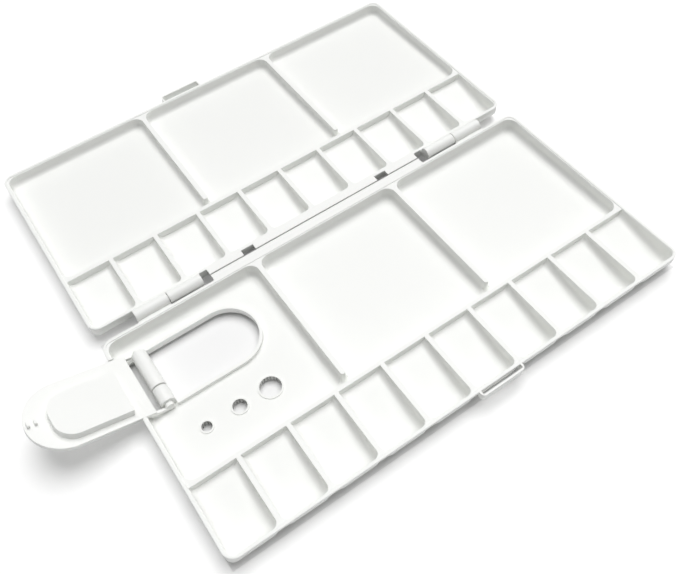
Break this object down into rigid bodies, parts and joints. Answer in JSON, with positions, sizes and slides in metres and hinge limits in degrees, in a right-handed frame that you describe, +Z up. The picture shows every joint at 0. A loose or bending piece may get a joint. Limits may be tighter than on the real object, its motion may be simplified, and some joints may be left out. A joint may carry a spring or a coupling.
{
  "type": "folding watercolour palette",
  "caption": "White moulded palette that folds flat: sloping paint wells and mixing pans in both trays, brush holes, and a thumb hole under a hinged cover.",
  "frame": {"origin": "middle of the round foot under the base tray, on the table", "axes": "+X along the hinge line to the right, +Y from the base tray's front towards the lid tray, +Z up"},
  "size_m": [0.2822, 0.2472, 0.0241],
  "materials": {
    "base_tray": "smooth satin white moulded plastic",
    "lid_tray": "smooth satin white moulded plastic",
    "thumb_cover": "smooth satin white moulded plastic"
  },
  "bodies": {
    "base": {"base_tray": "base_tray"},
    "lid": {"lid_tray": "lid_tray"},
    "cover": {"thumb_cover": "thumb_cover"}
  },
  "joints": [
    {"name": "lid_fold", "type": "hinge", "parent": "base", "child": "lid", "pos_m": [0, 0.062, 0.0106], "axis": [1, 0, 0], "range_deg": [0, 180]},
    {"name": "cover_fold", "type": "hinge", "parent": "base", "child": "cover", "pos_m": [-0.10779, 0.03126, 0.00602], "axis": [0, 1, 0], "range_deg": [0, 163.2]}
  ]
}
